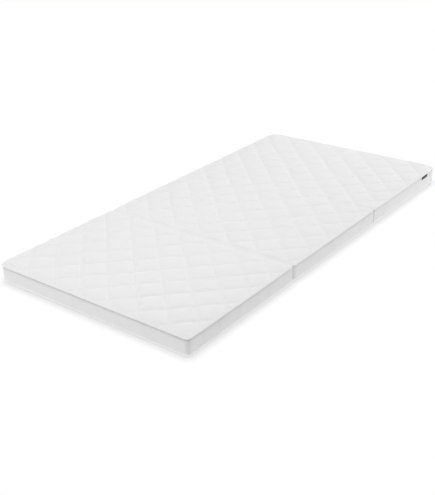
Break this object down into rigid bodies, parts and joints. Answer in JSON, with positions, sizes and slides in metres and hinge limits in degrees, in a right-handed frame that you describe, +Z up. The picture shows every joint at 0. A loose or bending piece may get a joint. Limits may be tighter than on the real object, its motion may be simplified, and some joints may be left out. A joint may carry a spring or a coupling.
{
  "type": "folding travel cot mattress",
  "caption": "Flat folding cot mattress: foam panels in a quilted cover, joined by cloth hinges so that they fold like a letter Z, with a zip in the side of each panel's cover.",
  "frame": {"origin": "on the floor under the centre of the flat mattress", "axes": "+Z up, +X along the length towards the panel that folds upwards (the end with the label), +Y towards the long side with the zips"},
  "size_m": [1.2, 0.6038, 0.0514],
  "materials": {
    "quilt_cloth": "matte knitted cotton, quilted",
    "border_cloth": "matte woven cotton",
    "seam_cloth": "matte, overlocked edge",
    "base_cloth": "matte woven cotton",
    "backing_cloth": "matte non-woven",
    "wadding": "soft fibre",
    "foam": "open-cell foam",
    "label": "black satin ribbon, bare",
    "zip_tape": "matte woven tape",
    "zip_nylon": "semi-matte nylon",
    "zip_metal": "white satin lacquer"
  },
  "bodies": {
    "near_panel": {"near_base_cloth": "base_cloth", "near_side_border": "border_cloth", "near_foam_core": "foam", "near_quilt_backing": "backing_cloth", "near_quilt_wadding": "wadding", "near_top_seam": "seam_cloth", "near_quilted_top": "quilt_cloth", "near_zip_tape_upper": "zip_tape", "near_zip_tape_lower": "zip_tape", "near_zip_chain": "zip_nylon", "near_zip_closed_stop": "zip_metal", "near_zip_open_stop": "zip_metal"},
    "middle_panel": {"middle_base_cloth": "base_cloth", "middle_side_border": "border_cloth", "middle_foam_core": "foam", "middle_quilt_backing": "backing_cloth", "middle_quilt_wadding": "wadding", "middle_top_seam": "seam_cloth", "middle_quilted_top": "quilt_cloth", "middle_zip_tape_upper": "zip_tape", "middle_zip_tape_lower": "zip_tape", "middle_zip_chain": "zip_nylon", "middle_zip_closed_stop": "zip_metal", "middle_zip_open_stop": "zip_metal", "near_fold_hinge_cloth": "base_cloth", "far_fold_hinge_cloth": "quilt_cloth"},
    "far_panel": {"far_base_cloth": "base_cloth", "far_side_border": "border_cloth", "far_foam_core": "foam", "far_quilt_backing": "backing_cloth", "far_quilt_wadding": "wadding", "far_top_seam": "seam_cloth", "far_quilted_top": "quilt_cloth", "far_zip_tape_upper": "zip_tape", "far_zip_tape_lower": "zip_tape", "far_zip_chain": "zip_nylon", "far_zip_closed_stop": "zip_metal", "far_zip_open_stop": "zip_metal", "bare_label": "label"},
    "near_slider": {"near_zip_slider": "zip_metal"},
    "near_pull": {"near_zip_pull": "zip_metal"},
    "middle_slider": {"middle_zip_slider": "zip_metal"},
    "middle_pull": {"middle_zip_pull": "zip_metal"},
    "far_slider": {"far_zip_slider": "zip_metal"},
    "far_pull": {"far_zip_pull": "zip_metal"}
  },
  "joints": [
    {"name": "near_fold", "type": "hinge", "parent": "middle_panel", "child": "near_panel", "pos_m": [-0.2001, 0, -0.00025], "axis": [0, -1, 0], "range_deg": [0, 180], "deforming": ["near_fold_hinge_cloth"]},
    {"name": "far_fold", "type": "hinge", "parent": "middle_panel", "child": "far_panel", "pos_m": [0.2001, 0, 0.05165], "axis": [0, -1, 0], "range_deg": [0, 180], "deforming": ["far_fold_hinge_cloth"]},
    {"name": "near_zip_slide", "type": "slide", "parent": "near_panel", "child": "near_slider", "axis": [-1, 0, 0], "range_m": [0, 0.286]},
    {"name": "near_pull_swing", "type": "hinge", "parent": "near_slider", "child": "near_pull", "pos_m": [-0.2535, 0.3021, 0.024], "axis": [1, 0, 0], "range_deg": [-4, 165]},
    {"name": "middle_zip_slide", "type": "slide", "parent": "middle_panel", "child": "middle_slider", "axis": [-1, 0, 0], "range_m": [0, 0.286]},
    {"name": "middle_pull_swing", "type": "hinge", "parent": "middle_slider", "child": "middle_pull", "pos_m": [0.1447, 0.3021, 0.024], "axis": [1, 0, 0], "range_deg": [-4, 165]},
    {"name": "far_zip_slide", "type": "slide", "parent": "far_panel", "child": "far_slider", "axis": [-1, 0, 0], "range_m": [0, 0.286]},
    {"name": "far_pull_swing", "type": "hinge", "parent": "far_slider", "child": "far_pull", "pos_m": [0.5299, 0.3021, 0.024], "axis": [1, 0, 0], "range_deg": [-4, 165]}
  ]
}
